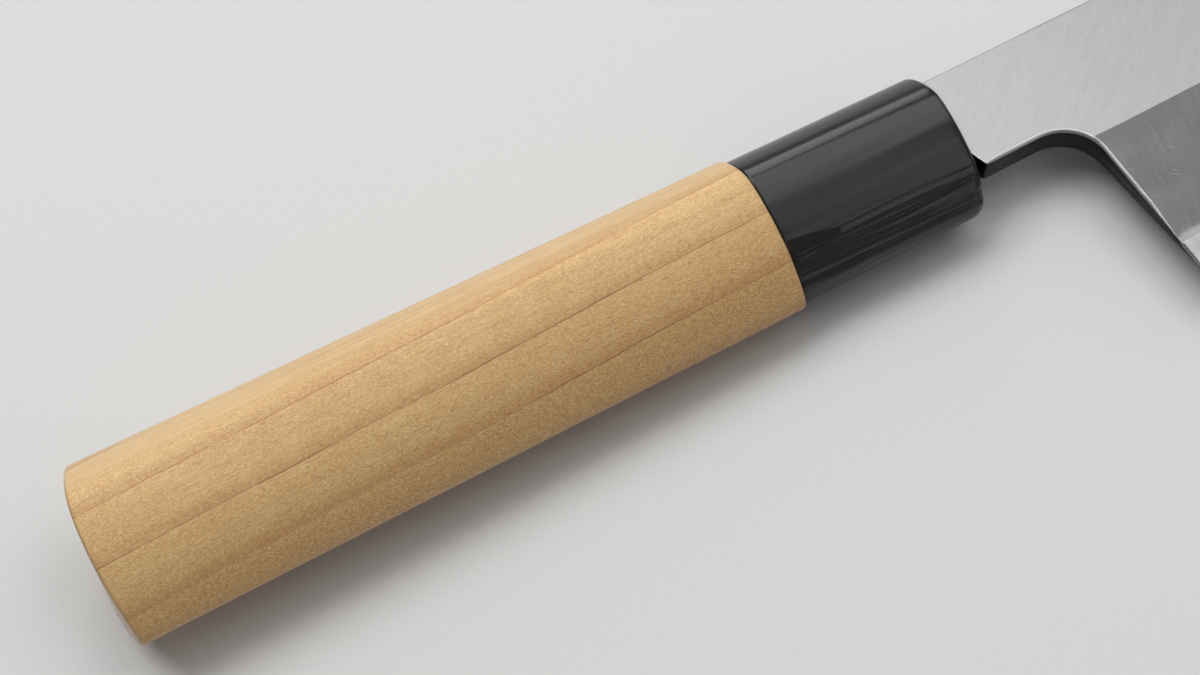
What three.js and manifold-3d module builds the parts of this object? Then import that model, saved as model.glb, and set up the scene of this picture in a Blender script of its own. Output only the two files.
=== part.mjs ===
// An usuba: a single-bevel vegetable knife with a ridged wooden handle and a black ferrule.
// It lies on its left side, with the bevelled right face up.
//
// Sizes are millimetres. Each piece is drawn along the handle: +X from the butt to the tip,
// +Y from the edge to the spine, +Z out of the right face, with X at 0 on the butt's crown and
// Y and Z at 0 on the handle's axis. The last section lays the whole knife down.
import * as THREE from 'three';
import { mergeVertices } from 'three/addons/utils/BufferGeometryUtils.js';
import Module from 'manifold-3d';

const wasm = await Module();
wasm.setup();

// Handle
const WOOD_LENGTH = 100.2;
const BUTT_WIDTH = 26;
const BUTT_THICKNESS = 20.3;
const BUTT_CROWN = 1.9;
const BUTT_CROWN_AT = -2.5;
const BUTT_ROUND = 0.6;
const SHOULDER_WIDTH = 23.9;
const SHOULDER_THICKNESS = 19.5;
const SHOULDER_ROUND = 0.6;
const TENON_WIDTH = 17;
const TENON_THICKNESS = 12.6;
const TENON_RISE = 0.4;

// Ferrule
const FERRULE_LENGTH = 29.9;
const FERRULE_BACK_WIDTH = 22.9;
const FERRULE_BACK_THICKNESS = 18.3;
const FERRULE_FRONT_WIDTH = 22.2;
const FERRULE_FRONT_THICKNESS = 18.1;
const FERRULE_ROUND = 0.8;
const FERRULE_LEAN = THREE.MathUtils.degToRad(3.4);
const SEAL_DEPTH = 2;
const SEAL_RECESS = 0.4;

// The ridge along the right side: where two crowned faces meet, which way they look there, and
// their radii as shares of the handle's width
const RIDGE_RISE = 0.4;
const RIDGE_AT_BUTT = 5.6;
const RIDGE_AT_SHOULDER = 6;
const RIDGE_AT_FRONT = 4.8;
const SPINE_FACE_ANGLE = THREE.MathUtils.degToRad(60);
const FLANK_ANGLE = THREE.MathUtils.degToRad(96.5);
const SPINE_FACE_CROWN = 4;
const FLANK_CROWN = 0.94;
const CROWN_RISE = 1;
const CORNER_POWER = 28;

// Blade
const EDGE_LENGTH = 180;
const HEEL_SETBACK = 21;
const SPINE_RISE = 9.55;
const NECK_HEIGHT = 15.9;
const HEEL_HEIGHT = 46.2;
const EDGE_RISE = 1.2;
const HEEL_LEAN = THREE.MathUtils.degToRad(6.4);
const BLADE_CANT = THREE.MathUtils.degToRad(0.8);
const CHOIL_RADIUS = 6.8;
const TIP_CORNER_RADIUS = 3;
const FLAT_AT_HEEL = 19.6;
const FLAT_AT_TIP = 18.4;
const NECK_THICKNESS = 4.2;
const TIP_THICKNESS = 2.8;
const EDGE_FLAT = 0.25;
const HAGANE_THICKNESS = 1.4;
const WELD_SETBACK = 12;
const HOLLOW_DEPTH = 0.45;
const HOLLOW_MARGIN = 4;

// Tang
const SPINE_SHOULDER_SETBACK = 0.4;
const EDGE_SHOULDER_SETBACK = 2.5;
const EDGE_SHOULDER_LEAN = THREE.MathUtils.degToRad(17);
const TANG_TOP_AT_FRONT = 8.2;
const TANG_BOTTOM_AT_FRONT = -4;
const TANG_LENGTH = 98;
const TANG_TOP_AT_END = 3.4;
const TANG_BOTTOM_AT_END = -0.8;
const TANG_FRONT_THICKNESS = 4;
const TANG_END_THICKNESS = 2.6;
const TANG_OVERLAP = 1;

// Gaps between pieces that are glued, burnt in or forge-welded on the real knife
const GLUE_GAP = 0.15;
const TANG_GAP = 0.4;
const WELD_GAP = 0.06;

const SECTION_POINTS = 72;
const BUTT_RINGS = 4;
const ROUND_STEPS = 4;
const ARC_STEPS = 12;
const GROUND_STEPS = 12;
const HOLLOW_COLUMNS = 24;
const HOLLOW_ROWS = 8;
const OVERCUT = 4;

// Places worked out from the sizes
const FRONT = WOOD_LENGTH + FERRULE_LENGTH;
const HEEL = FRONT + HEEL_SETBACK;
const TIP = HEEL + EDGE_LENGTH;
const LEFT_FACE = -NECK_THICKNESS / 2;
const NECK_BOTTOM = SPINE_RISE - NECK_HEIGHT;
const HEEL_BOTTOM = SPINE_RISE - HEEL_HEIGHT;
const TIP_BOTTOM = HEEL_BOTTOM + EDGE_RISE;
const SPINE_SHOULDER = FRONT + SPINE_SHOULDER_SETBACK;
const EDGE_SHOULDER = FRONT + EDGE_SHOULDER_SETBACK;
const SEAL_BACK = FRONT - SEAL_DEPTH;
const TANG_END = FRONT - TANG_LENGTH;

// Solids and skins

function toSolid(geometry) {
  const bare = geometry.clone();
  bare.deleteAttribute('normal');
  bare.deleteAttribute('uv');
  const merged = mergeVertices(bare);
  return new wasm.Manifold(new wasm.Mesh({
    numProp: 3,
    vertProperties: new Float32Array(merged.attributes.position.array),
    triVerts: new Uint32Array(merged.index.array),
  }));
}

function toGeometry(solid) {
  const { vertProperties, triVerts } = solid.getMesh();
  const geometry = new THREE.BufferGeometry();
  geometry.setAttribute('position', new THREE.Float32BufferAttribute(vertProperties, 3));
  geometry.setIndex(new THREE.Uint32BufferAttribute(triVerts, 1));
  geometry.computeVertexNormals();
  return geometry;
}

// A closed skin over rings of equally many points, in order along X, with a flat cap at each end.
// Each ring runs from +Y towards +Z.
function loft(rings) {
  const count = rings[0].length;
  const last = (rings.length - 1) * count;
  const faces = [];
  for (let start = 0; start < last; start += count) {
    for (let i = 0; i < count; i++) {
      const here = start + i;
      const next = start + (i + 1) % count;
      faces.push(here, next, next + count, here, next + count, here + count);
    }
  }
  for (let i = 1; i + 1 < count; i++) {
    faces.push(0, i + 1, i, last, last + i, last + i + 1);
  }
  const geometry = new THREE.BufferGeometry().setFromPoints(rings.flat());
  geometry.setIndex(faces);
  return geometry;
}

function ring(x, section) {
  return section.map((point) => new THREE.Vector3(x, point.x, point.y));
}

function rectangle(bottom, top, low, high) {
  const corners = [[top, low], [top, high], [bottom, high], [bottom, low]];
  return corners.map(([y, z]) => new THREE.Vector2(y, z));
}

function turn(steps) {
  return Array.from({ length: steps }, (_, i) => 2 * Math.PI * i / steps);
}

// Sections of the handle

function oval(width, thickness, rise = 0) {
  return turn(SECTION_POINTS).map((angle) => new THREE.Vector2(
    rise + width / 2 * Math.cos(angle),
    thickness / 2 * Math.sin(angle),
  ));
}

// An oval whose right side is shaped to two crowned faces that meet in a soft ridge
function ridged(width, thickness, ridgeAcross) {
  const ridge = new THREE.Vector2(ridgeAcross, thickness / 2 + RIDGE_RISE);
  const crowned = (angle, radius) => {
    const normal = new THREE.Vector2(Math.cos(angle), Math.sin(angle));
    return { centre: ridge.clone().addScaledVector(normal, -radius), radius };
  };
  const faces = [
    crowned(SPINE_FACE_ANGLE, SPINE_FACE_CROWN * width),
    crowned(FLANK_ANGLE, FLANK_CROWN * width),
  ];
  return turn(SECTION_POINTS).map((angle) => {
    const ray = new THREE.Vector2(Math.cos(angle), Math.sin(angle));
    const height = thickness / 2 + (ray.y > 0 ? CROWN_RISE : 0);
    const reaches = [1 / Math.hypot(ray.x / (width / 2), ray.y / height)];
    for (const { centre, radius } of faces) {
      const along = ray.dot(centre);
      reaches.push(along + Math.sqrt(radius ** 2 - centre.lengthSq() + along ** 2));
    }
    const sum = reaches.reduce((total, reach) => total + reach ** -CORNER_POWER, 0);
    return ray.multiplyScalar(sum ** (-1 / CORNER_POWER));
  });
}

// Rings that ease a section's edge over a quarter round which ends at x
function easedEnd(x, section, radius) {
  return Array.from({ length: ROUND_STEPS + 1 }, (_, i) => {
    const angle = Math.PI / 2 * i / ROUND_STEPS;
    const inset = radius * (1 - Math.cos(angle));
    const eased = section.map((point) => point.clone().setLength(point.length() - inset));
    return ring(x - radius + radius * Math.sin(angle), eased);
  });
}

// The ferrule's two ends lean about the ridge: its edge side reaches further along the blade
function leaned(rings) {
  const reach = (y) => (RIDGE_AT_FRONT - y) * Math.tan(FERRULE_LEAN);
  return rings.map((points) => points.map(({ x, y, z }) => new THREE.Vector3(x + reach(y), y, z)));
}

// Rings over the butt, which is rounded from the edge's side to the spine's side, and over the
// eased rim that leads into the section
function buttRings(section) {
  const shrunk = (share, out) => section.map((point) => (
    point.clone().setLength(share * (point.length() - BUTT_ROUND) + out)
  ));
  const crown = (across) => BUTT_CROWN * (2 * (across - BUTT_CROWN_AT) / BUTT_WIDTH) ** 2;
  const lifted = (points, along) => points.map(({ x, y }) => new THREE.Vector3(crown(x) + along, x, y));
  const end = Array.from({ length: BUTT_RINGS }, (_, i) => lifted(shrunk((i + 1) / BUTT_RINGS, 0), 0));
  const rim = Array.from({ length: ROUND_STEPS }, (_, i) => {
    const angle = Math.PI / 2 * (i + 1) / ROUND_STEPS;
    return lifted(shrunk(1, BUTT_ROUND * Math.sin(angle)), BUTT_ROUND * (1 - Math.cos(angle)));
  });
  return [...end, ...rim];
}

// Blade

// The blade and tang are drawn along the handle, then turned a little towards the spine
function canted(geometry) {
  return geometry.translate(-FRONT, 0, 0).rotateZ(BLADE_CANT).translate(FRONT, 0, 0);
}

// The flat of the neck turns into the leaning heel in one round, the choil
function bladeOutline() {
  const choilY = NECK_BOTTOM - CHOIL_RADIUS;
  const roundEnd = choilY + CHOIL_RADIUS * Math.sin(HEEL_LEAN);
  const heelTop = HEEL - (roundEnd - HEEL_BOTTOM) * Math.tan(HEEL_LEAN);
  const choilX = heelTop - CHOIL_RADIUS * Math.cos(HEEL_LEAN);
  const cornerX = TIP - TIP_CORNER_RADIUS;
  const cornerY = SPINE_RISE - TIP_CORNER_RADIUS;
  const notchY = TANG_BOTTOM_AT_FRONT + TANG_OVERLAP;
  const notchX = EDGE_SHOULDER - (notchY - NECK_BOTTOM) * Math.tan(EDGE_SHOULDER_LEAN);
  const shape = new THREE.Shape();
  shape.moveTo(SPINE_SHOULDER, SPINE_RISE);
  shape.lineTo(SPINE_SHOULDER, notchY);
  shape.lineTo(notchX, notchY);
  shape.lineTo(EDGE_SHOULDER, NECK_BOTTOM);
  shape.absarc(choilX, choilY, CHOIL_RADIUS, Math.PI / 2, HEEL_LEAN, true);
  shape.lineTo(HEEL, HEEL_BOTTOM);
  shape.lineTo(TIP, TIP_BOTTOM);
  shape.lineTo(TIP, cornerY);
  shape.absarc(cornerX, cornerY, TIP_CORNER_RADIUS, 0, Math.PI / 2, false);
  return shape;
}

function plate(shape, low, high) {
  const geometry = new THREE.ExtrudeGeometry(shape, {
    depth: high - low,
    bevelEnabled: false,
    curveSegments: ARC_STEPS,
  });
  return toSolid(geometry.translate(0, 0, low));
}

// What the grinding leaves at one place along the blade: the flat, then the bevel down to the edge
function groundSection(thickness, flatHeight, height) {
  const flatEnd = SPINE_RISE - flatHeight;
  const edge = SPINE_RISE - height;
  const slope = (thickness - EDGE_FLAT) / (flatEnd - edge);
  const beyond = edge - OVERCUT;
  const right = LEFT_FACE + thickness;
  return [
    [SPINE_RISE + OVERCUT, LEFT_FACE],
    [SPINE_RISE + OVERCUT, right],
    [flatEnd, right],
    [beyond, right - slope * (flatEnd - beyond)],
    [beyond, LEFT_FACE - OVERCUT],
    [SPINE_RISE + OVERCUT, LEFT_FACE - OVERCUT],
  ].map(([y, z]) => new THREE.Vector2(y, z));
}

// The blade as ground, reaching past its outline on every side. It thins towards the tip, so the
// bevel turns a little along its length.
function groundBlank() {
  const start = SPINE_SHOULDER - OVERCUT;
  const end = TIP + OVERCUT;
  const rings = [];
  for (let step = 0; step <= GROUND_STEPS; step++) {
    const x = THREE.MathUtils.lerp(start, end, step / GROUND_STEPS);
    const share = (x - HEEL) / EDGE_LENGTH;
    rings.push(ring(x, groundSection(
      THREE.MathUtils.lerp(NECK_THICKNESS, TIP_THICKNESS, share),
      THREE.MathUtils.lerp(FLAT_AT_HEEL, FLAT_AT_TIP, share),
      HEEL_HEIGHT - EDGE_RISE * share,
    )));
  }
  return toSolid(loft(rings));
}

// The shallow hollow ground into the left face, deepest in the middle and fading out at its rim
function hollow() {
  const start = HEEL + HOLLOW_MARGIN;
  const end = TIP - HOLLOW_MARGIN;
  const top = SPINE_RISE - HOLLOW_MARGIN;
  const bottom = TIP_BOTTOM + HOLLOW_MARGIN;
  const fade = (share) => 1 - (2 * share - 1) ** 2;
  const rings = [];
  for (let column = 0; column <= HOLLOW_COLUMNS; column++) {
    const along = column / HOLLOW_COLUMNS;
    const depth = HOLLOW_DEPTH * Math.sqrt(fade(along));
    const roof = [];
    for (let row = 0; row <= HOLLOW_ROWS; row++) {
      const across = row / HOLLOW_ROWS;
      const y = top + (bottom - top) * across;
      roof.push(new THREE.Vector2(y, LEFT_FACE + depth * fade(across)));
    }
    const floor = [bottom, top].map((y) => new THREE.Vector2(y, LEFT_FACE - OVERCUT));
    rings.push(ring(start + (end - start) * along, [...roof, ...floor]));
  }
  return toSolid(loft(rings));
}

// The tang up to a place along the handle, or with a gap the hole that it sits in
function tang(front, gap) {
  const sections = [TANG_END - gap, front].map((x) => {
    const share = (x - TANG_END) / TANG_LENGTH;
    const top = THREE.MathUtils.lerp(TANG_TOP_AT_END, TANG_TOP_AT_FRONT, share) + gap;
    const bottom = THREE.MathUtils.lerp(TANG_BOTTOM_AT_END, TANG_BOTTOM_AT_FRONT, share) - gap;
    const half = THREE.MathUtils.lerp(TANG_END_THICKNESS, TANG_FRONT_THICKNESS, share) / 2 + gap;
    return ring(x, rectangle(bottom, top, -half, half));
  });
  return loft(sections);
}

function tangHole(gap) {
  return toSolid(canted(tang(FRONT + OVERCUT, gap)));
}

const weldLine = HEEL - WELD_SETBACK;
const weldFace = LEFT_FACE + HAGANE_THICKNESS;

// Everything of the blade that the edge steel may fill, grown by a gap
function steelBox(gap) {
  const box = new THREE.BoxGeometry(
    TIP + OVERCUT - weldLine + gap,
    HEEL_HEIGHT + 2 * OVERCUT,
    HAGANE_THICKNESS + OVERCUT + gap,
  );
  return toSolid(box.translate(
    (TIP + OVERCUT + weldLine - gap) / 2,
    SPINE_RISE - HEEL_HEIGHT / 2,
    (weldFace + gap + LEFT_FACE - OVERCUT) / 2,
  ));
}

const bar = plate(bladeOutline(), LEFT_FACE, LEFT_FACE + NECK_THICKNESS);
const groundBlade = bar.intersect(groundBlank());
const edgeSteel = groundBlade.intersect(steelBox(0)).subtract(hollow());
const solidTang = toSolid(tang(EDGE_SHOULDER + TANG_OVERLAP, 0));
const ironBody = groundBlade.subtract(steelBox(WELD_GAP)).add(solidTang);

// Handle

function handleWood() {
  const butt = ridged(BUTT_WIDTH, BUTT_THICKNESS, RIDGE_AT_BUTT);
  const shoulder = ridged(SHOULDER_WIDTH, SHOULDER_THICKNESS, RIDGE_AT_SHOULDER);
  const tenon = oval(TENON_WIDTH, TENON_THICKNESS, TENON_RISE);
  return toSolid(loft([
    ...buttRings(butt),
    ...leaned([...easedEnd(WOOD_LENGTH, shoulder, SHOULDER_ROUND), ring(WOOD_LENGTH, tenon)]),
    ring(SEAL_BACK - GLUE_GAP, tenon),
  ])).subtract(tangHole(TANG_GAP));
}

function ferruleRing() {
  const back = ridged(FERRULE_BACK_WIDTH, FERRULE_BACK_THICKNESS, RIDGE_AT_SHOULDER);
  const front = ridged(FERRULE_FRONT_WIDTH, FERRULE_FRONT_THICKNESS, RIDGE_AT_FRONT);
  const bore = oval(TENON_WIDTH + 2 * GLUE_GAP, TENON_THICKNESS + 2 * GLUE_GAP, TENON_RISE);
  const outside = toSolid(loft([
    ...leaned([ring(WOOD_LENGTH + GLUE_GAP, back), ...easedEnd(FRONT, front, FERRULE_ROUND)]),
  ]));
  return outside.subtract(toSolid(loft([
    ring(WOOD_LENGTH - OVERCUT, bore),
    ring(FRONT + OVERCUT, bore),
  ])));
}

function tangSeal() {
  const plug = oval(TENON_WIDTH, TENON_THICKNESS, TENON_RISE);
  return toSolid(loft([
    ring(SEAL_BACK, plug),
    ring(FRONT - SEAL_RECESS, plug),
  ])).subtract(tangHole(GLUE_GAP));
}

// The knife, one mesh for each piece

const materials = {
  iron: new THREE.MeshStandardMaterial({ color: 0xb4b6b8, roughness: 0.35, metalness: 1 }),
  steel: new THREE.MeshStandardMaterial({ color: 0xdcdee0, roughness: 0.15, metalness: 1 }),
  wood: new THREE.MeshStandardMaterial({ color: 0xc9a26b, roughness: 0.6, metalness: 0 }),
  horn: new THREE.MeshStandardMaterial({ color: 0x17171a, roughness: 0.25, metalness: 0 }),
  resin: new THREE.MeshStandardMaterial({ color: 0x2a2119, roughness: 0.5, metalness: 0 }),
};

const pieces = {
  iron_body: [canted(toGeometry(ironBody)), materials.iron],
  edge_steel: [canted(toGeometry(edgeSteel)), materials.steel],
  handle: [toGeometry(handleWood()), materials.wood],
  ferrule: [toGeometry(ferruleRing()), materials.horn],
  tang_seal: [toGeometry(tangSeal()), materials.resin],
};

const knife = new THREE.Group();
for (const [name, [geometry, material]] of Object.entries(pieces)) {
  const mesh = new THREE.Mesh(geometry, material);
  mesh.name = name;
  knife.add(mesh);
}

// At rest it leans on the round of the ferrule's front edge and on the left face at the tip:
// it is tipped by the angle of the line that touches both.
const roundX = FRONT + RIDGE_AT_FRONT * Math.tan(FERRULE_LEAN) - FERRULE_ROUND;
const roundZ = -FERRULE_FRONT_THICKNESS / 2 + FERRULE_ROUND;
const reach = Math.hypot(TIP - roundX, LEFT_FACE - roundZ);
knife.rotation.y = Math.atan2(LEFT_FACE - roundZ, TIP - roundX) + Math.asin(FERRULE_ROUND / reach);

// The origin is below the middle of the knife, on the surface that it lies on
const laid = new THREE.Group();
laid.add(knife);
laid.updateMatrixWorld(true);
const box = new THREE.Box3().setFromObject(laid, true);
knife.position.set(-(box.min.x + box.max.x) / 2, -(box.min.y + box.max.y) / 2, -box.min.z);

export default laid;
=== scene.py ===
"""An usuba knife lying on its left side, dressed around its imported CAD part.

Pieces are drawn in millimetres in the knife's own frame and placed together: +X from the butt to
the tip, +Y from the edge to the spine, +Z out of the bevelled right face.
"""

import math

import bpy
from mathutils import Matrix, Vector
from mathutils.geometry import delaunay_2d_cdt


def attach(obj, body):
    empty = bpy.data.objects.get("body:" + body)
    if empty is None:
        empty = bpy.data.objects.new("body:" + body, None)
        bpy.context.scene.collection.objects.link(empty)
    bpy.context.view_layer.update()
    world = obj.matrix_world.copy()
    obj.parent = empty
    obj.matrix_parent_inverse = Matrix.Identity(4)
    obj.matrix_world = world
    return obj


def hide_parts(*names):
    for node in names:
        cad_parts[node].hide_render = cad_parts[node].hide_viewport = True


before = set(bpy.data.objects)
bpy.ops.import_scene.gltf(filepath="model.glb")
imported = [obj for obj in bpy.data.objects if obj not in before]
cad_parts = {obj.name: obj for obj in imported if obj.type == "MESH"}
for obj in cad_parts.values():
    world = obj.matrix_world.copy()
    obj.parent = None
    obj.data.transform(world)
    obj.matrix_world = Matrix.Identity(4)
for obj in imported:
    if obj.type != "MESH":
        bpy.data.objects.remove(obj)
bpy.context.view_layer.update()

MM = 0.001
TINY = 1e-6

# Sizes shared with the CAD source, in millimetres
WOOD_LENGTH = 100.2
BUTT_WIDTH = 26.0
BUTT_THICKNESS = 20.3
BUTT_CROWN = 1.9
BUTT_CROWN_AT = -2.5
BUTT_ROUND = 0.6
SHOULDER_WIDTH = 23.9
SHOULDER_THICKNESS = 19.5
SHOULDER_ROUND = 0.6
TENON_WIDTH = 17.0
TENON_THICKNESS = 12.6
TENON_RISE = 0.4
FERRULE_LENGTH = 29.9
FERRULE_BACK_WIDTH = 22.9
FERRULE_BACK_THICKNESS = 18.3
FERRULE_FRONT_WIDTH = 22.2
FERRULE_FRONT_THICKNESS = 18.1
FERRULE_ROUND = 0.8
FERRULE_LEAN = math.radians(3.4)
SEAL_DEPTH = 2.0
SEAL_RECESS = 0.4
RIDGE_RISE = 0.4
RIDGE_AT_BUTT = 5.6
RIDGE_AT_SHOULDER = 6.0
RIDGE_AT_FRONT = 4.8
SPINE_FACE_ANGLE = math.radians(60)
FLANK_ANGLE = math.radians(96.5)
SPINE_FACE_CROWN = 4.0
FLANK_CROWN = 0.94
CROWN_RISE = 1.0
CORNER_POWER = 28
EDGE_LENGTH = 180.0
HEEL_SETBACK = 21.0
SPINE_RISE = 9.55
NECK_HEIGHT = 15.9
HEEL_HEIGHT = 46.2
EDGE_RISE = 1.2
HEEL_LEAN = math.radians(6.4)
BLADE_CANT = math.radians(0.8)
CHOIL_RADIUS = 6.8
TIP_CORNER_RADIUS = 3.0
FLAT_AT_HEEL = 19.6
FLAT_AT_TIP = 18.4
NECK_THICKNESS = 4.2
TIP_THICKNESS = 2.8
EDGE_FLAT = 0.25
HAGANE_THICKNESS = 1.4
WELD_SETBACK = 12.0
HOLLOW_DEPTH = 0.45
HOLLOW_MARGIN = 4.0
SPINE_SHOULDER_SETBACK = 0.4
EDGE_SHOULDER_SETBACK = 2.5
EDGE_SHOULDER_LEAN = math.radians(17)
TANG_TOP_AT_FRONT = 8.2
TANG_BOTTOM_AT_FRONT = -4.0
TANG_LENGTH = 98.0
TANG_TOP_AT_END = 3.4
TANG_BOTTOM_AT_END = -0.8
TANG_FRONT_THICKNESS = 4.0
TANG_END_THICKNESS = 2.6
GLUE_GAP = 0.15
TANG_GAP = 0.4
KNIFE_PLACE = Vector((-165.49631, 11.67661, 13.52837))

FRONT = WOOD_LENGTH + FERRULE_LENGTH
HEEL = FRONT + HEEL_SETBACK
TIP = HEEL + EDGE_LENGTH
LEFT_FACE = -NECK_THICKNESS / 2
NECK_BOTTOM = SPINE_RISE - NECK_HEIGHT
HEEL_BOTTOM = SPINE_RISE - HEEL_HEIGHT
TIP_BOTTOM = HEEL_BOTTOM + EDGE_RISE
SPINE_SHOULDER = FRONT + SPINE_SHOULDER_SETBACK
EDGE_SHOULDER = FRONT + EDGE_SHOULDER_SETBACK
SEAL_BACK = FRONT - SEAL_DEPTH
TANG_END = FRONT - TANG_LENGTH
WELD_LINE = HEEL - WELD_SETBACK
WELD_FACE = LEFT_FACE + HAGANE_THICKNESS

# Fineness of the meshes
SECTION_POINTS = 216
BUTT_RINGS = 10
BODY_RINGS = 48
ROUND_RINGS = 8
SEAL_RINGS = 8
STATIONS = 30
EASE_STEPS = 5
CHOIL_STEPS = 26
HEEL_STEPS = 26
HOLLOW_ROWS = 14
PAST_CHOIL = 0.8

# Softened edges that only the dressed knife has, in millimetres
SPINE_EASE = 0.35
CHOIL_EASE = 0.6
HEEL_EASE = 0.45
UNDER_EASE = 0.2
TANG_EASE = 0.3
EDGE_EASE = 0.16
FEATHER = 0.006
SHINOGI_SOFT = 0.45
NECK_CORNER_RADIUS = 0.5
FERRULE_BACK_EASE = 0.25
FERRULE_CORNER = 1.6
FERRULE_CORNER_FROM = 6.5
FERRULE_CORNER_RUN = 4.0
SEAL_SAG = 0.5
WELD_CLEARANCE = 0.012

# An ease takes at most this share of the iron's or the steel's thickness
IRON_EASE_SHARE = 0.6
STEEL_EASE_SHARE = 0.5


def lerp(a, b, share):
    return a + (b - a) * share


def knife_matrix():
    """The knife's own frame, leaning on the ferrule's front round and the tip."""
    round_x = FRONT + RIDGE_AT_FRONT * math.tan(FERRULE_LEAN) - FERRULE_ROUND
    round_z = -FERRULE_FRONT_THICKNESS / 2 + FERRULE_ROUND
    reach = math.hypot(TIP - round_x, LEFT_FACE - round_z)
    pitch = math.atan2(LEFT_FACE - round_z, TIP - round_x) + math.asin(FERRULE_ROUND / reach)
    return Matrix.Translation(KNIFE_PLACE * MM) @ Matrix.Rotation(pitch, 4, "Y")


KNIFE = knife_matrix()
PIVOT = Matrix.Translation((FRONT * MM, 0, 0))
BLADE = KNIFE @ PIVOT @ Matrix.Rotation(BLADE_CANT, 4, "Z") @ PIVOT.inverted()


def canted(x, y):
    """A point of the blade's frame in the knife's frame."""
    dx = x - FRONT
    return (
        FRONT + dx * math.cos(BLADE_CANT) - y * math.sin(BLADE_CANT),
        dx * math.sin(BLADE_CANT) + y * math.cos(BLADE_CANT),
    )


def add_piece(name, points, faces, materials, place, face_slots=None, flat_slots=()):
    mesh = bpy.data.meshes.new(name)
    mesh.from_pydata([Vector(p) * MM for p in points], [], faces)
    for material in materials:
        mesh.materials.append(material)
    for polygon in mesh.polygons:
        slot = face_slots[polygon.index] if face_slots else 0
        polygon.material_index = slot
        polygon.use_smooth = slot not in flat_slots
    mesh.validate()
    mesh.update()
    piece = bpy.data.objects.new(name, mesh)
    piece.matrix_world = place
    bpy.context.scene.collection.objects.link(piece)
    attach(piece, "root")
    return piece


# Handle: sections and lofts


def turn(count):
    return [2 * math.pi * i / count for i in range(count)]


def oval(width, thickness, rise):
    return [
        (rise + width / 2 * math.cos(a), thickness / 2 * math.sin(a)) for a in turn(SECTION_POINTS)
    ]


def ridged(width, thickness, ridge_across):
    """An oval whose right side is shaped to two crowned faces that meet in a soft ridge."""
    ridge = Vector((ridge_across, thickness / 2 + RIDGE_RISE))
    crowned = []
    for angle, crown in ((SPINE_FACE_ANGLE, SPINE_FACE_CROWN), (FLANK_ANGLE, FLANK_CROWN)):
        radius = crown * width
        crowned.append((ridge - radius * Vector((math.cos(angle), math.sin(angle))), radius))
    section = []
    for angle in turn(SECTION_POINTS):
        ray = Vector((math.cos(angle), math.sin(angle)))
        height = thickness / 2 + (CROWN_RISE if ray.y > 0 else 0)
        reaches = [1 / math.hypot(ray.x / (width / 2), ray.y / height)]
        for centre, radius in crowned:
            along = ray.dot(centre)
            reaches.append(along + math.sqrt(radius**2 - centre.length_squared + along**2))
        reach = sum(r**-CORNER_POWER for r in reaches) ** (-1 / CORNER_POWER)
        section.append((ray.x * reach, ray.y * reach))
    return section


def blend_sections(a, b, share):
    return [(lerp(p[0], q[0], share), lerp(p[1], q[1], share)) for p, q in zip(a, b)]


def shrunk(section, inset):
    made = []
    for y, z in section:
        reach = math.hypot(y, z)
        made.append((y * (reach - inset) / reach, z * (reach - inset) / reach))
    return made


def ring(x, section):
    return [(x, y, z) for y, z in section]


def eased_end(x, section, radius):
    """Rings that ease a section's edge over a quarter round which ends at x."""
    rings = []
    for i in range(ROUND_RINGS + 1):
        angle = math.pi / 2 * i / ROUND_RINGS
        inset = radius * (1 - math.cos(angle))
        rings.append(ring(x - radius + radius * math.sin(angle), shrunk(section, inset)))
    return rings


def eased_start(x, section, radius):
    return [[(2 * x - p[0], p[1], p[2]) for p in r] for r in reversed(eased_end(x, section, radius))]


def leaned(points, share=1):
    """Points of the ferrule's ends, which lean about the ridge, their edge side further along."""
    slope = share * math.tan(FERRULE_LEAN)
    return [(x + (RIDGE_AT_FRONT - y) * slope, y, z) for x, y, z in points]


def tang_ring(x, gap):
    """The tang's hole at x, sampled towards the same angles as the handle's sections."""
    share = (x - TANG_END) / TANG_LENGTH
    top = lerp(TANG_TOP_AT_END, TANG_TOP_AT_FRONT, share) + gap
    bottom = lerp(TANG_BOTTOM_AT_END, TANG_BOTTOM_AT_FRONT, share) - gap
    half = lerp(TANG_END_THICKNESS, TANG_FRONT_THICKNESS, share) / 2 + gap
    middle = (top + bottom) / 2
    made = []
    for angle in turn(SECTION_POINTS):
        c, s = math.cos(angle), math.sin(angle)
        reach = min((top - bottom) / 2 / max(abs(c), TINY), half / max(abs(s), TINY))
        px, py = canted(x, middle + reach * c)
        made.append((px, py, reach * s))
    return made


def loft(rings, loop=False):
    """Faces over rings in order along X. A loop joins the last ring to the first."""
    count = len(rings[0])
    points = [p for r in rings for p in r]
    faces = []
    spans = len(rings) if loop else len(rings) - 1
    for k in range(spans):
        here, there = k * count, (k + 1) % len(rings) * count
        for i in range(count):
            j = (i + 1) % count
            faces.append((here + i, here + j, there + j, there + i))
    if not loop:
        for k, flip in ((0, True), (len(rings) - 1, False)):
            start = k * count
            middle = sum((Vector(p) for p in rings[k]), Vector()) / count
            points.append(tuple(middle))
            centre = len(points) - 1
            for i in range(count):
                a, b = start + i, start + (i + 1) % count
                faces.append((centre, b, a) if flip else (centre, a, b))
    return points, faces


def butt_crown(across):
    """How far the butt falls back at a place between the edge's side and the spine's side."""
    return BUTT_CROWN * (2 * (across - BUTT_CROWN_AT) / BUTT_WIDTH) ** 2


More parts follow.
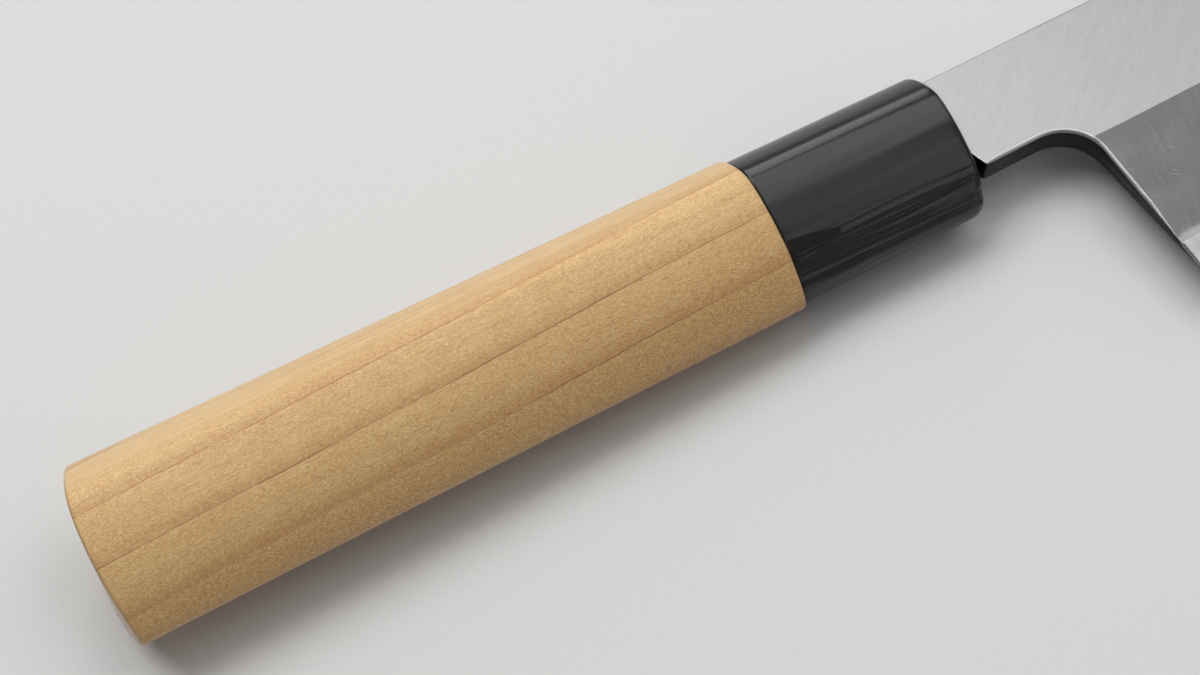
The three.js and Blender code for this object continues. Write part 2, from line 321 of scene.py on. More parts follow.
def handle_rings():
    butt = ridged(BUTT_WIDTH, BUTT_THICKNESS, RIDGE_AT_BUTT)
    shoulder = ridged(SHOULDER_WIDTH, SHOULDER_THICKNESS, RIDGE_AT_SHOULDER)
    tenon = oval(TENON_WIDTH, TENON_THICKNESS, TENON_RISE)
    rings = []
    for i in range(1, BUTT_RINGS + 1):
        inner = [(y * i / BUTT_RINGS, z * i / BUTT_RINGS) for y, z in shrunk(butt, BUTT_ROUND)]
        rings.append([(butt_crown(y), y, z) for y, z in inner])
    for i in range(1, ROUND_RINGS + 1):
        angle = math.pi / 2 * i / ROUND_RINGS
        along = BUTT_ROUND * (1 - math.cos(angle))
        eased = shrunk(butt, BUTT_ROUND * (1 - math.sin(angle)))
        rings.append([(butt_crown(y) + along, y, z) for y, z in eased])
    starts = [p[0] for p in rings[-1]]
    for i in range(1, BODY_RINGS):
        share = i / BODY_RINGS
        body = blend_sections(butt, shoulder, share)
        end = WOOD_LENGTH - SHOULDER_ROUND
        rings.append(leaned([(lerp(x, end, share), y, z) for x, (y, z) in zip(starts, body)], share))
    rings += [leaned(r) for r in eased_end(WOOD_LENGTH, shoulder, SHOULDER_ROUND)]
    rings.append(leaned(ring(WOOD_LENGTH, tenon)))
    rings.append(ring(SEAL_BACK - GLUE_GAP, tenon))
    rings.append(tang_ring(SEAL_BACK - GLUE_GAP, TANG_GAP))
    rings.append(tang_ring(TANG_END - TANG_GAP, TANG_GAP))
    return rings


def front_radius(y):
    """The round of the ferrule's front edge, which grows towards the edge's side."""
    share = min(max((-y - FERRULE_CORNER_FROM) / FERRULE_CORNER_RUN, 0), 1)
    return FERRULE_ROUND + FERRULE_CORNER * share**2 * (3 - 2 * share)


def ferrule_rings():
    back = ridged(FERRULE_BACK_WIDTH, FERRULE_BACK_THICKNESS, RIDGE_AT_SHOULDER)
    front = ridged(FERRULE_FRONT_WIDTH, FERRULE_FRONT_THICKNESS, RIDGE_AT_FRONT)
    bore = oval(TENON_WIDTH + 2 * GLUE_GAP, TENON_THICKNESS + 2 * GLUE_GAP, TENON_RISE)
    start = WOOD_LENGTH + GLUE_GAP
    rings = [leaned(r) for r in eased_start(start, back, FERRULE_BACK_EASE)]
    for i in range(1, BODY_RINGS):
        share = i / BODY_RINGS
        body = []
        for (y, z), end in zip(blend_sections(back, front, share), front):
            x = lerp(start + FERRULE_BACK_EASE, FRONT - front_radius(end[0]), share)
            body.append((x, y, z))
        rings.append(leaned(body))
    radii = [front_radius(y) for y, z in front]
    for i in range(ROUND_RINGS + 1):
        angle = math.pi / 2 * i / ROUND_RINGS
        eased = []
        for (y, z), radius in zip(front, radii):
            kept = 1 - radius * (1 - math.cos(angle)) / math.hypot(y, z)
            eased.append((FRONT - radius * (1 - math.sin(angle)), y * kept, z * kept))
        rings.append(leaned(eased))
    rings.append(leaned(ring(FRONT, bore)))
    rings.append(leaned(ring(start, bore)))
    return rings


def seal_rings():
    """Resin that climbs a little at the ferrule's wall and at the tang."""
    plug = oval(TENON_WIDTH, TENON_THICKNESS, TENON_RISE)
    hole_back = tang_ring(SEAL_BACK, GLUE_GAP)
    hole_front = tang_ring(FRONT - SEAL_RECESS, GLUE_GAP)
    rings = [ring(SEAL_BACK, plug)]
    for i in range(SEAL_RINGS + 1):
        share = i / SEAL_RINGS
        x = FRONT - SEAL_RECESS - SEAL_SAG * (1 - (2 * share - 1) ** 2)
        rings.append([
            (x, lerp(p[0], q[1], share), lerp(p[1], q[2], share)) for p, q in zip(plug, hole_front)
        ])
    rings.append(hole_back)
    return rings


# Blade: a slab between two height fields, with eased edges


def ground_height(x, y):
    """Height of the right face: the flat, then the bevel down to the edge."""
    share = (x - HEEL) / EDGE_LENGTH
    thickness = min(lerp(NECK_THICKNESS, TIP_THICKNESS, share), NECK_THICKNESS)
    flat_end = shinogi(x)
    edge = SPINE_RISE - HEEL_HEIGHT + EDGE_RISE * share
    if y >= flat_end:
        return LEFT_FACE + thickness
    return LEFT_FACE + EDGE_FLAT + (thickness - EDGE_FLAT) * (y - edge) / (flat_end - edge)


def shinogi(x):
    return SPINE_RISE - lerp(FLAT_AT_HEEL, FLAT_AT_TIP, (x - HEEL) / EDGE_LENGTH)


def kasumi(x):
    """Where the edge steel comes out of the bevel."""
    share = (x - HEEL) / EDGE_LENGTH
    thickness = lerp(NECK_THICKNESS, TIP_THICKNESS, share)
    edge = SPINE_RISE - HEEL_HEIGHT + EDGE_RISE * share
    return edge + (shinogi(x) - edge) * (HAGANE_THICKNESS - EDGE_FLAT) / (thickness - EDGE_FLAT)


def heel_x(y):
    return HEEL - (y - HEEL_BOTTOM) * math.tan(HEEL_LEAN)


def shoulder_x(y):
    """The shoulder on the edge side, which leans away from the ferrule towards the neck's corner."""
    return EDGE_SHOULDER - (y - NECK_BOTTOM) * math.tan(EDGE_SHOULDER_LEAN)


def tang_half(x):
    share = min((x - TANG_END) / TANG_LENGTH, 1)
    return lerp(TANG_END_THICKNESS, TANG_FRONT_THICKNESS, share) / 2


def iron_top(x, y):
    if x < SPINE_SHOULDER:
        return tang_half(x)
    return ground_height(x, y)


def iron_bottom(x, y):
    if x < SPINE_SHOULDER:
        return -tang_half(x)
    return LEFT_FACE if x < WELD_LINE else WELD_FACE


def steel_top(x, y):
    return min(ground_height(x, y), WELD_FACE - FEATHER)


def steel_bottom(x, y):
    start, end = HEEL + HOLLOW_MARGIN, TIP - HOLLOW_MARGIN
    low, high = TIP_BOTTOM + HOLLOW_MARGIN, SPINE_RISE - HOLLOW_MARGIN
    along = (x - start) / (end - start)
    across = (y - low) / (high - low)
    if not (0 < along < 1 and 0 < across < 1):
        return LEFT_FACE
    fade_along = 1 - (2 * along - 1) ** 2
    fade_across = 1 - (2 * across - 1) ** 2
    return LEFT_FACE + HOLLOW_DEPTH * math.sqrt(fade_along) * fade_across


MITRE_LIMIT = 2


class Outline:
    """A closed line in the blade's plane. Each point has the ease of its upper and lower edge."""

    def __init__(self):
        self.points = []
        self.eases = []
        self.marks = {}

    def add(self, x, y, upper, lower, mark=None):
        if mark:
            self.marks[mark] = len(self.points)
        self.points.append((x, y))
        self.eases.append((upper, lower))

    def line(self, a, b, count, upper, lower):
        """Points from a up to, but without, b."""
        for i in range(count):
            self.add(lerp(a[0], b[0], i / count), lerp(a[1], b[1], i / count), upper, lower)

    def arc(self, centre, radius, start, end, count, upper, lower):
        for i in range(count + 1):
            angle = lerp(start, end, i / count)
            self.add(
                centre[0] + radius * math.cos(angle),
                centre[1] + radius * math.sin(angle),
                upper,
                lower,
            )

    def inset(self, distances):
        """The line moved inwards by a distance at each point. It runs clockwise."""
        count = len(self.points)
        moved = []
        for i in range(count):
            before = Vector(self.points[i - 1])
            here = Vector(self.points[i])
            after = Vector(self.points[(i + 1) % count])
            a = (here - before).normalized()
            b = (after - here).normalized()
            normal_a, normal_b = Vector((a.y, -a.x)), Vector((b.y, -b.x))
            middle = normal_a + normal_b
            if middle.length < TINY:
                middle = normal_a
            middle.normalize()
            stretch = 1 / max(middle.dot(normal_a), 1 / MITRE_LIMIT)
            moved.append(here + middle * distances[i] * stretch)
        return moved


# How the fill is triangulated: inside the outline only, with points this close taken as one
INSIDE_ONLY = 1
MERGE_WITHIN = 1e-5


def slab(outline, top, bottom, top_lines, bottom_lines, top_points, bottom_points):
    """A solid between two height fields over an outline. Returns points, faces and each face's
    part: "top", "bottom", "rim" or "wall"."""
    count = len(outline.points)
    points, faces, parts = [], [], []

    def eased_rings(height, which, sign):
        rings = []
        for k in range(EASE_STEPS + 1):
            angle = math.pi / 2 * k / EASE_STEPS
            insets = [e[which] * (1 - math.cos(angle)) for e in outline.eases]
            drops = [e[which] * (1 - math.sin(angle)) for e in outline.eases]
            moved = outline.inset(insets)
            start = len(points)
            for here, drop in zip(moved, drops):
                points.append((here.x, here.y, height(here.x, here.y) - sign * drop))
            rings.append(range(start, start + count))
        return rings

    def strip(lower, upper, part):
        for i in range(count):
            j = (i + 1) % count
            faces.append((lower[i], upper[i], upper[j], lower[j]))
            parts.append(part)

    def fill(inner, height, lines, extra, part, flip):
        flat = [Vector(points[i][:2]) for i in inner]
        edges = [(i, (i + 1) % count) for i in range(count)]
        for line in lines:
            chain = []
            for item in line:
                if isinstance(item, int):
                    chain.append(item)
                else:
                    flat.append(Vector(item))
                    chain.append(len(flat) - 1)
            edges += list(zip(chain, chain[1:]))
        flat += [Vector(p) for p in extra]
        made, _, triangles, sources, _, _ = delaunay_2d_cdt(flat, edges, [], INSIDE_ONLY, MERGE_WITHIN)
        index = []
        for place, source in zip(made, sources):
            ring_hits = [s for s in source if s < count]
            if ring_hits:
                index.append(inner[ring_hits[0]])
            else:
                points.append((place.x, place.y, height(place.x, place.y)))
                index.append(len(points) - 1)
        for triangle in triangles:
            face = tuple(index[i] for i in triangle)
            faces.append(tuple(reversed(face)) if flip else face)
            parts.append(part)

    top_rings = eased_rings(top, 0, 1)
    bottom_rings = eased_rings(bottom, 1, -1)
    for a, b in zip(top_rings, top_rings[1:]):
        strip(a, b, "rim")
    strip(bottom_rings[0], top_rings[0], "wall")
    for a, b in zip(bottom_rings, bottom_rings[1:]):
        strip(b, a, "rim")
    fill(top_rings[-1], top, top_lines, top_points, "top", False)
    fill(bottom_rings[-1], bottom, bottom_lines, bottom_points, "bottom", True)
    return points, faces, parts


def rim_ease(x, y, low):
    """Ease along the choil and heel, less where the blade is thin."""
    return max(min(CHOIL_EASE, IRON_EASE_SHARE * (ground_height(x, y) - low)), FEATHER)


def station(i):
    return lerp(HEEL, TIP, i / STATIONS)


def choil_centre():
    y = NECK_BOTTOM - CHOIL_RADIUS
    round_end = y + CHOIL_RADIUS * math.sin(HEEL_LEAN)
    return heel_x(round_end) - CHOIL_RADIUS * math.cos(HEEL_LEAN), y


def spine_and_tip(outline, start, upper, lower):
    """The spine from start to the tip, and the tip's end down to the shinogi."""
    corner = (TIP - TIP_CORNER_RADIUS, SPINE_RISE - TIP_CORNER_RADIUS)
    after_arc = corner[1] - 0.5
    shinogi_y = shinogi(TIP)
    outline.line((start, SPINE_RISE), (corner[0], SPINE_RISE), STATIONS, upper, lower)
    outline.arc(corner, TIP_CORNER_RADIUS, math.pi / 2, 0, 10, upper, lower)
    outline.line((TIP, after_arc), (TIP, shinogi_y), 6, upper, lower)
    return shinogi_y


def iron_outline():
    o = Outline()
    low = FEATHER
    # Distances to the weld's end, the spine's shoulder, the neck's corner and the heel's line
    step = 0.01
    near = 0.06
    past_shoulder = 1
    by_corner = 0.6
    behind_heel = 1
    # Spine, from the shoulder over the weld's end to the tip
    o.add(SPINE_SHOULDER, SPINE_RISE, SPINE_EASE, UNDER_EASE)
    neck_start = (SPINE_SHOULDER + past_shoulder, SPINE_RISE)
    o.line(neck_start, (WELD_LINE - near, SPINE_RISE), 4, SPINE_EASE, UNDER_EASE)
    o.add(WELD_LINE - near, SPINE_RISE, SPINE_EASE, UNDER_EASE)
    o.add(WELD_LINE - step, SPINE_RISE, SPINE_EASE, UNDER_EASE, "weld_spine_neck")
    o.add(WELD_LINE + step, SPINE_RISE, SPINE_EASE, low, "weld_spine_blade")
    shinogi_y = spine_and_tip(o, WELD_LINE + near, SPINE_EASE, low)
    o.add(TIP, shinogi_y, SPINE_EASE, low, "shinogi_tip")
    end = kasumi(TIP)
    steps = 8
    for i in range(1, steps):
        y = lerp(shinogi_y, end, i / steps)
        o.add(TIP, y, min(SPINE_EASE, rim_ease(TIP, y, WELD_FACE)), low)
    # The feather edge of the iron, back to the heel
    for i in range(STATIONS, 0, -1):
        o.add(station(i), kasumi(station(i)), low, low)
    kasumi_y = kasumi(HEEL - behind_heel)
    o.add(heel_x(kasumi_y), kasumi_y, low, low)
    # Heel and choil
    choil = choil_centre()
    round_end = choil[1] + CHOIL_RADIUS * math.sin(HEEL_LEAN)
    for i in range(1, HEEL_STEPS):
        y = lerp(kasumi_y, round_end, i / HEEL_STEPS)
        o.add(heel_x(y), y, rim_ease(heel_x(y), y, WELD_FACE), low)
    for i in range(CHOIL_STEPS + 1):
        angle = lerp(HEEL_LEAN, math.pi / 2, i / CHOIL_STEPS)
        x = choil[0] + CHOIL_RADIUS * math.cos(angle)
        y = choil[1] + CHOIL_RADIUS * math.sin(angle)
        o.add(x, y, rim_ease(x, y, WELD_FACE), low)
    # Neck
    o.line((choil[0] - PAST_CHOIL, NECK_BOTTOM), (WELD_LINE + near, NECK_BOTTOM), 2, CHOIL_EASE, low)
    o.add(WELD_LINE + near, NECK_BOTTOM, CHOIL_EASE, low)
    o.add(WELD_LINE + step, NECK_BOTTOM, CHOIL_EASE, low, "weld_neck_blade")
    o.add(WELD_LINE - step, NECK_BOTTOM, CHOIL_EASE, UNDER_EASE, "weld_neck")
    corner = (EDGE_SHOULDER + NECK_CORNER_RADIUS, NECK_BOTTOM + NECK_CORNER_RADIUS)
    neck_end = (corner[0] + by_corner, NECK_BOTTOM)
    o.line((WELD_LINE - near, NECK_BOTTOM), neck_end, 6, CHOIL_EASE, UNDER_EASE)
    # Shoulder on the edge side, tang, shoulder on the spine side
    steps = 6
    for i in range(steps + 1):
        angle = lerp(-math.pi / 2, -math.pi + EDGE_SHOULDER_LEAN, i / steps)
        ease = lerp(CHOIL_EASE, TANG_EASE, i / steps) * IRON_EASE_SHARE
        o.add(
            corner[0] + NECK_CORNER_RADIUS * math.cos(angle),
            corner[1] + NECK_CORNER_RADIUS * math.sin(angle),
            ease,
            UNDER_EASE,
        )
    shoulder_end = TANG_BOTTOM_AT_FRONT - by_corner
    o.add(shoulder_x(shoulder_end), shoulder_end, TANG_EASE, TANG_EASE)
    tang_start = (shoulder_x(TANG_BOTTOM_AT_FRONT), TANG_BOTTOM_AT_FRONT)
    end_bottom = (TANG_END, TANG_BOTTOM_AT_END)
    end_top = (TANG_END, TANG_TOP_AT_END)
    o.line(tang_start, end_bottom, 14, TANG_EASE, TANG_EASE)
    o.line(end_bottom, end_top, 3, TANG_EASE, TANG_EASE)
    o.line(end_top, (SPINE_SHOULDER, TANG_TOP_AT_FRONT), 14, TANG_EASE, TANG_EASE)
    o.add(SPINE_SHOULDER, TANG_TOP_AT_FRONT, TANG_EASE, TANG_EASE)
    return o


def steel_outline():
    o = Outline()
    top = FEATHER
    under = UNDER_EASE
    start = WELD_LINE + WELD_CLEARANCE
    near_start = start + 0.03
    heel_corner_end = HEEL_BOTTOM + 1
    shinogi_y = spine_and_tip(o, start, top, under)
    steps = 10
    for i in range(steps):
        y = lerp(shinogi_y, TIP_BOTTOM, i / steps)
        o.add(TIP, y, top, under)
    o.line((TIP, TIP_BOTTOM), (HEEL, HEEL_BOTTOM), 2 * STATIONS, EDGE_EASE, FEATHER)
    choil = choil_centre()
    round_end = choil[1] + CHOIL_RADIUS * math.sin(HEEL_LEAN)
    steps = 30
    for i in range(steps):
        y = lerp(HEEL_BOTTOM, round_end, i / steps)
        ease = top
        if y < kasumi(HEEL):
            ease = min(HEEL_EASE, STEEL_EASE_SHARE * (steel_top(heel_x(y), y) - LEFT_FACE))
        o.add(heel_x(y), y, ease, FEATHER if y < heel_corner_end else under)
    o.arc(choil, CHOIL_RADIUS, HEEL_LEAN, math.pi / 2, CHOIL_STEPS, top, under)
    o.line((choil[0] - PAST_CHOIL, NECK_BOTTOM), (near_start, NECK_BOTTOM), 2, top, under)
    o.add(near_start, NECK_BOTTOM, top, under)
    o.line((start, NECK_BOTTOM), (start, SPINE_RISE), 6, top, FEATHER)
    return o


# Materials


class Graph:
    """A material's node tree, with short calls for the nodes used here."""

    def __init__(self, name):
        self.material = bpy.data.materials.new(name)
        self.material.use_nodes = True
        self.tree = self.material.node_tree
        self.shader = self.tree.nodes["Principled BSDF"]

    def node(self, kind, inputs=None, **settings):
        made = self.tree.nodes.new(kind)
        for key, value in settings.items():
            setattr(made, key, value)
        for key, value in (inputs or {}).items():
            self.put(value, made.inputs[key])
        return made

    def put(self, value, socket):
        if isinstance(value, bpy.types.NodeSocket):
            self.tree.links.new(value, socket)
        else:
            socket.default_value = value

    def set(self, **inputs):
        for key, value in inputs.items():
            self.put(value, self.shader.inputs[key.replace("_", " ")])

    def math(self, operation, *values):
        made = self.node("ShaderNodeMath", operation=operation)
        for i, value in enumerate(values):
            self.put(value, made.inputs[i])
        return made.outputs[0]

    def place(self, size=(1, 1, 1), turned=0.0):
        """The piece's own coordinates, turned about Z, counted in a size in millimetres."""
        source = self.node("ShaderNodeTexCoord").outputs["Object"]
        spun = self.node("ShaderNodeVectorRotate", {"Vector": source, "Angle": turned})
        spun.rotation_type = "Z_AXIS"
        scaled = self.node("ShaderNodeVectorMath", operation="MULTIPLY")
        self.put(spun.outputs[0], scaled.inputs[0])
        scaled.inputs[1].default_value = [1 / s / MM for s in size]
        return scaled.outputs[0]

    def axes(self, vector):
        parts = self.node("ShaderNodeSeparateXYZ", {0: vector})
        return parts.outputs[0], parts.outputs[1], parts.outputs[2]

    def noise(self, size, turned=0.0, detail=2.0, roughness=0.5, distortion=0.0):
        """Noise with marks of a size in millimetres along X, Y and Z."""
        made = self.node(
            "ShaderNodeTexNoise",
            {
                "Vector": self.place(size, turned),
                "Scale": 1.0,
                "Detail": detail,
                "Roughness": roughness,
                "Distortion": distortion,
            },
        )
        return made.outputs["Fac"]

    def smooth(self, value, low, high, to_low=0.0, to_high=1.0):
        made = self.node(
            "ShaderNodeMapRange",
            {"Value": value, "From Min": low, "From Max": high, "To Min": to_low, "To Max": to_high},
            interpolation_type="SMOOTHSTEP",
        )
        return made.outputs[0]

    def mix(self, share, a, b):
        made = self.node("ShaderNodeMix", data_type="RGBA")
        self.put(share, made.inputs["Factor"])
        self.put(a, made.inputs[6])
        self.put(b, made.inputs[7])
        return made.outputs[2]

    def bump(self, height, strength, distance_mm):
        made = self.node(
            "ShaderNodeBump", {"Strength": strength, "Distance": distance_mm * MM, "Height": height}
        )
        self.put(made.outputs[0], self.shader.inputs["Normal"])


def rgb(r, g, b):
    """A colour written as display values from 0 to 255."""

    def linear(value):
        c = value / 255
        return c / 12.92 if c <= 0.04045 else ((c + 0.055) / 1.055) ** 2.4

    return (linear(r), linear(g), linear(b), 1.0)


GRAIN_ANGLE = math.radians(-4)
GROWTH_TILT = 0.35
GROWTH_DRIFT = 0.04
GROWTH_WANDER = 1.2
GROWTH_JITTER = 0.16
LINE_HALF_WIDTH = 0.14
LINE_FADE_IN = 25.0
BAND_WIDTH = 2.7
ALL_ALONG = -30.0

RUST = rgb(164, 88, 34)
UMBER = rgb(116, 66, 30)

# Where each growth line runs and starts, its colour and depth, and the depth of the wood beside it
GROWTH_LINES = (
    (12.4, ALL_ALONG, RUST, 0.6, 0.2),
    (5.4, ALL_ALONG, RUST, 0.7, 0.22),
    (-2.1, ALL_ALONG, UMBER, 0.85, 0.24),
    (-9.8, 40.0, UMBER, 0.75, 0.28),
    (-17.0, ALL_ALONG, UMBER, 0.6, 0.4),
)


def wood_material():
    """Bare magnolia: fine flecks along the grain, and growth lines with short ticks beside them."""
    g = Graph("ho_wood")
    x, y, z = g.axes(g.place())
    wander = g.noise((34, 60, 60), detail=4, roughness=0.6)
    lane = g.math("ADD", y, g.math("MULTIPLY", z, GROWTH_TILT))
    lane = g.math("SUBTRACT", lane, g.math("MULTIPLY", x, GROWTH_DRIFT))
    lane = g.math("ADD", lane, g.math("MULTIPLY", g.math("SUBTRACT", wander, 0.5), GROWTH_WANDER))
    jitter = g.noise((1.6, 0.5, 0.5), detail=1)
    lane = g.math("ADD", lane, g.math("MULTIPLY", g.math("SUBTRACT", jitter, 0.5), GROWTH_JITTER))

    pores = g.noise((1.8, 0.05, 0.05), GRAIN_ANGLE, detail=1)
    rays = g.noise((0.4, 0.04, 0.04), GRAIN_ANGLE, detail=1)
    fibres = g.noise((7, 0.22, 0.22), GRAIN_ANGLE, detail=2)
    streaks = g.noise((70, 0.9, 0.9), detail=3, roughness=0.6)
    clouds = g.noise((26, 7, 7), detail=2)
    figure = g.noise((3.5, 9, 9), detail=2)
    along, across, _ = g.axes(g.node("ShaderNodeTexCoord").outputs["Normal"])
    flecked = g.smooth(across, 0.25, 0.6, 0.9, 0.3)

    colour = g.mix(g.smooth(clouds, 0.3, 0.7), rgb(202, 159, 96), rgb(210, 170, 108))
    colour = g.mix(g.smooth(figure, 0.45, 0.7, 0.0, 0.25), colour, rgb(226, 192, 132))
    # Painted sheen: faces turned towards the spine are mixed towards a pale cream.
    colour = g.mix(g.smooth(across, 0.15, 0.55, 0.0, 0.5), colour, rgb(219, 193, 154))
    # Painted shade: towards the edge's side the wood turns a deeper, darker orange-brown.
    colour = g.mix(g.smooth(lane, -13.0, -2.0, 0.65, 0.0), colour, rgb(176, 120, 54))
    colour = g.mix(g.smooth(streaks, 0.4, 0.7, 0.0, 0.45), colour, rgb(188, 143, 82))
    colour = g.mix(g.smooth(fibres, 0.4, 0.75, 0.0, 0.35), colour, rgb(176, 130, 68))
    threads = g.math("MULTIPLY", g.smooth(pores, 0.5, 0.68), g.smooth(lane, -8.0, 2.0, 1.0, 0.75))
    colour = g.mix(g.math("MULTIPLY", threads, flecked), colour, rgb(156, 108, 52))
    colour = g.mix(g.math("MULTIPLY", g.smooth(rays, 0.52, 0.64), flecked), colour, rgb(234, 205, 152))
    worn = g.smooth(g.noise((16, 4, 4), detail=2), 0.35, 0.6, 0.45, 1.0)
    ticks = g.smooth(g.noise((0.38, 1.2, 1.2), detail=1), 0.55, 0.7, 0.0, 1.1)
    for middle, start, line_colour, line_depth, band_depth in GROWTH_LINES:
        away = g.math("SUBTRACT", lane, middle)
        line = g.smooth(g.math("ABSOLUTE", away), 0.02, LINE_HALF_WIDTH, line_depth, 0.0)
        shown = g.math("MULTIPLY", worn, g.smooth(x, start, start + LINE_FADE_IN))
        band = g.math(
            "MULTIPLY",
            g.smooth(away, 0.1, BAND_WIDTH, band_depth, 0.0),
            g.smooth(away, -0.1, 0.1),
        )
        colour = g.mix(band, colour, rgb(158, 104, 50))
        colour = g.mix(g.math("MULTIPLY", band, ticks), colour, rgb(164, 98, 42))
        colour = g.mix(g.math("MULTIPLY", line, shown), colour, line_colour)
    # Painted shade: faces turned back towards the butt, the end face, are darkened to brown.
    colour = g.mix(g.smooth(along, -0.9, -0.5, 0.7, 0.0), colour, rgb(140, 104, 62))
    g.set(Base_Color=colour, Roughness=0.62, Specular_IOR_Level=0.8)
    g.set(Sheen_Weight=0.3, Sheen_Roughness=0.4)
    g.bump(g.math("ADD", pores, rays), 0.15, 0.04)
    return g.material


def horn_material():
    """Black buffalo horn, polished, with the faint waves that its fibres leave."""
    g = Graph("black_horn")
    waves = g.noise((38, 3.6, 3.6), detail=1, distortion=0.4)
    fibres = g.noise((30, 1.2, 1.2), detail=2, roughness=0.4)
    y = g.axes(g.place())[1]
    calm = g.smooth(y, 1.0, 5.0, 1.0, 0.15)
    coarse = g.smooth(y, -7.0, -4.0, 3.2, 0.0)
    height = g.math("ADD", g.math("MULTIPLY", waves, calm), g.math("MULTIPLY", fibres, coarse))
    haze = g.noise((24, 3.5, 3.5), detail=2)
    colour = g.mix(g.smooth(fibres, 0.45, 0.75), rgb(28, 28, 29), rgb(36, 36, 37))
    roughness = g.smooth(haze, 0.35, 0.7, 0.18, 0.26)
    g.set(Base_Color=colour, Roughness=roughness, Specular_IOR_Level=0.45)
    g.bump(height, 0.8, 0.16)
    return g.material


def resin_material():
    g = Graph("dark_resin")
    lumps = g.noise((1.4, 1.4, 1.4), detail=3)
    colour = g.mix(lumps, rgb(26, 21, 17), rgb(48, 39, 30))
    g.set(Base_Color=colour, Roughness=0.5)
    g.bump(lumps, 0.4, 0.15)
    return g.material


BRUSH_ANGLE = math.radians(-38)
STONE_ANGLE = math.radians(-80)
SCRATCH_ANGLE = math.radians(35)
CLOUD_REACH = 3.0
BRIGHT_STEEL = rgb(156, 157, 158)


def flat_material():
    """The right flat, brushed aslant by the polishing wheel."""
    g = Graph("brushed_iron")
    hairs = g.noise((2.6, 0.1, 2), BRUSH_ANGLE, detail=3, roughness=0.6)
    sweeps = g.noise((22, 1.1, 2), BRUSH_ANGLE, detail=2)
    both = g.math("ADD", g.math("MULTIPLY", hairs, 0.75), g.math("MULTIPLY", sweeps, 0.25))
    colour = g.mix(g.smooth(both, 0.35, 0.65), rgb(160, 160, 160), rgb(170, 170, 170))
    g.set(Base_Color=colour, Metallic=1.0, Roughness=g.smooth(both, 0.3, 0.7, 0.45, 0.49))
    g.bump(both, 0.04, 0.02)
    return g.material


def below_kasumi(g):
    """How far below the weld line a place on the bevel is, in millimetres, as a node socket."""
    x, y, _ = g.axes(g.place())
    heel_y, middle_y, tip_y = (kasumi(lerp(HEEL, TIP, share)) for share in (0, 0.5, 1))
    bend = 2 * heel_y - 4 * middle_y + 2 * tip_y
    slope = tip_y - heel_y - bend
    along = g.math("DIVIDE", g.math("SUBTRACT", x, HEEL), EDGE_LENGTH)
    curve = g.math("ADD", g.math("MULTIPLY", along, bend), slope)
    line = g.math("ADD", g.math("MULTIPLY", curve, along), heel_y)
    return g.math("SUBTRACT", line, y)


def bevel_material():
    """The ground bevel: hazy iron from the stones, clouding into the edge steel."""
    g = Graph("hazed_iron")
    haze = g.noise((14, 6, 6), detail=3)
    stone = g.noise((5, 0.1, 1), STONE_ANGLE, detail=2)
    cloud = g.noise((3.5, 1.6, 1.6), detail=4, roughness=0.6)
    colour = g.mix(g.smooth(haze, 0.3, 0.7), rgb(102, 102, 102), rgb(109, 109, 109))
    drift = g.math("MULTIPLY", g.math("SUBTRACT", cloud, 0.5), CLOUD_REACH)
    below = g.math("ADD", below_kasumi(g), drift)
    colour = g.mix(g.smooth(below, -1.9, 0.0, 0.0, 0.85), colour, BRIGHT_STEEL)
    scratches = g.noise((2.4, 0.12, 2), SCRATCH_ANGLE, detail=1)
    colour = g.mix(g.smooth(scratches, 0.73, 0.79, 0.0, 0.5), colour, rgb(176, 177, 178))
    g.set(Base_Color=colour, Metallic=1.0, Roughness=g.smooth(stone, 0.3, 0.7, 0.4, 0.5))
    g.bump(stone, 0.05, 0.02)
    return g.material


def steel_material():
    g = Graph("edge_steel")
    lines = g.noise((5, 0.1, 1), STONE_ANGLE, detail=2)
    cloud = g.noise((6, 2.5, 2.5), detail=3)
    colour = g.mix(g.smooth(cloud, 0.3, 0.7), rgb(140, 141, 143), BRIGHT_STEEL)
    g.set(Base_Color=colour, Metallic=1.0, Roughness=g.smooth(lines, 0.3, 0.7, 0.3, 0.4))
    g.bump(lines, 0.05, 0.02)
    return g.material


def hollow_material():
    """The left face, ground hollow, with fine lines that run from the spine to the edge."""
    g = Graph("hollow_steel")
    lines = g.noise((9, 0.14, 1), STONE_ANGLE, detail=3, roughness=0.6)
    drift = g.noise((40, 18, 18), detail=1)
    both = g.math("ADD", g.math("MULTIPLY", lines, 0.7), g.math("MULTIPLY", drift, 0.3))
    colour = g.mix(g.smooth(both, 0.35, 0.65), rgb(145, 146, 148), BRIGHT_STEEL)
    g.set(Base_Color=colour, Metallic=1.0, Roughness=g.smooth(lines, 0.3, 0.7, 0.3, 0.38))
    g.bump(lines, 0.05, 0.02)
    return g.material


def rim_material():
    """Hand-eased corners, bright on top and along the spine, and the sides of neck and heel painted
    near black as painted shade.
    """
    g = Graph("eased_rim")
    lines = g.noise((3, 3, 0.15), detail=2)
    nx, ny, nz = g.axes(g.node("ShaderNodeTexCoord").outputs["Normal"])
    facing = g.math("MAXIMUM", g.math("MAXIMUM", nx, ny), nz)
    lit = g.smooth(facing, 0.3, 0.6)
    # Painted shade: where the normal turns away from the tip, the spine and the right face, the colour
    # goes near black.
    painted_shade_side = g.mix(lines, rgb(28, 28, 30), rgb(38, 38, 40))
    bright = g.mix(lines, rgb(160, 161, 162), rgb(176, 176, 177))
    roughness = g.smooth(lines, 0.3, 0.7, 0.3, 0.4)
    g.set(Base_Color=g.mix(lit, painted_shade_side, bright), Metallic=1.0, Roughness=roughness)
    return g.material


# Pieces

wood = add_piece("handle_wood", *loft(handle_rings()), [wood_material()], KNIFE)
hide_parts("handle")

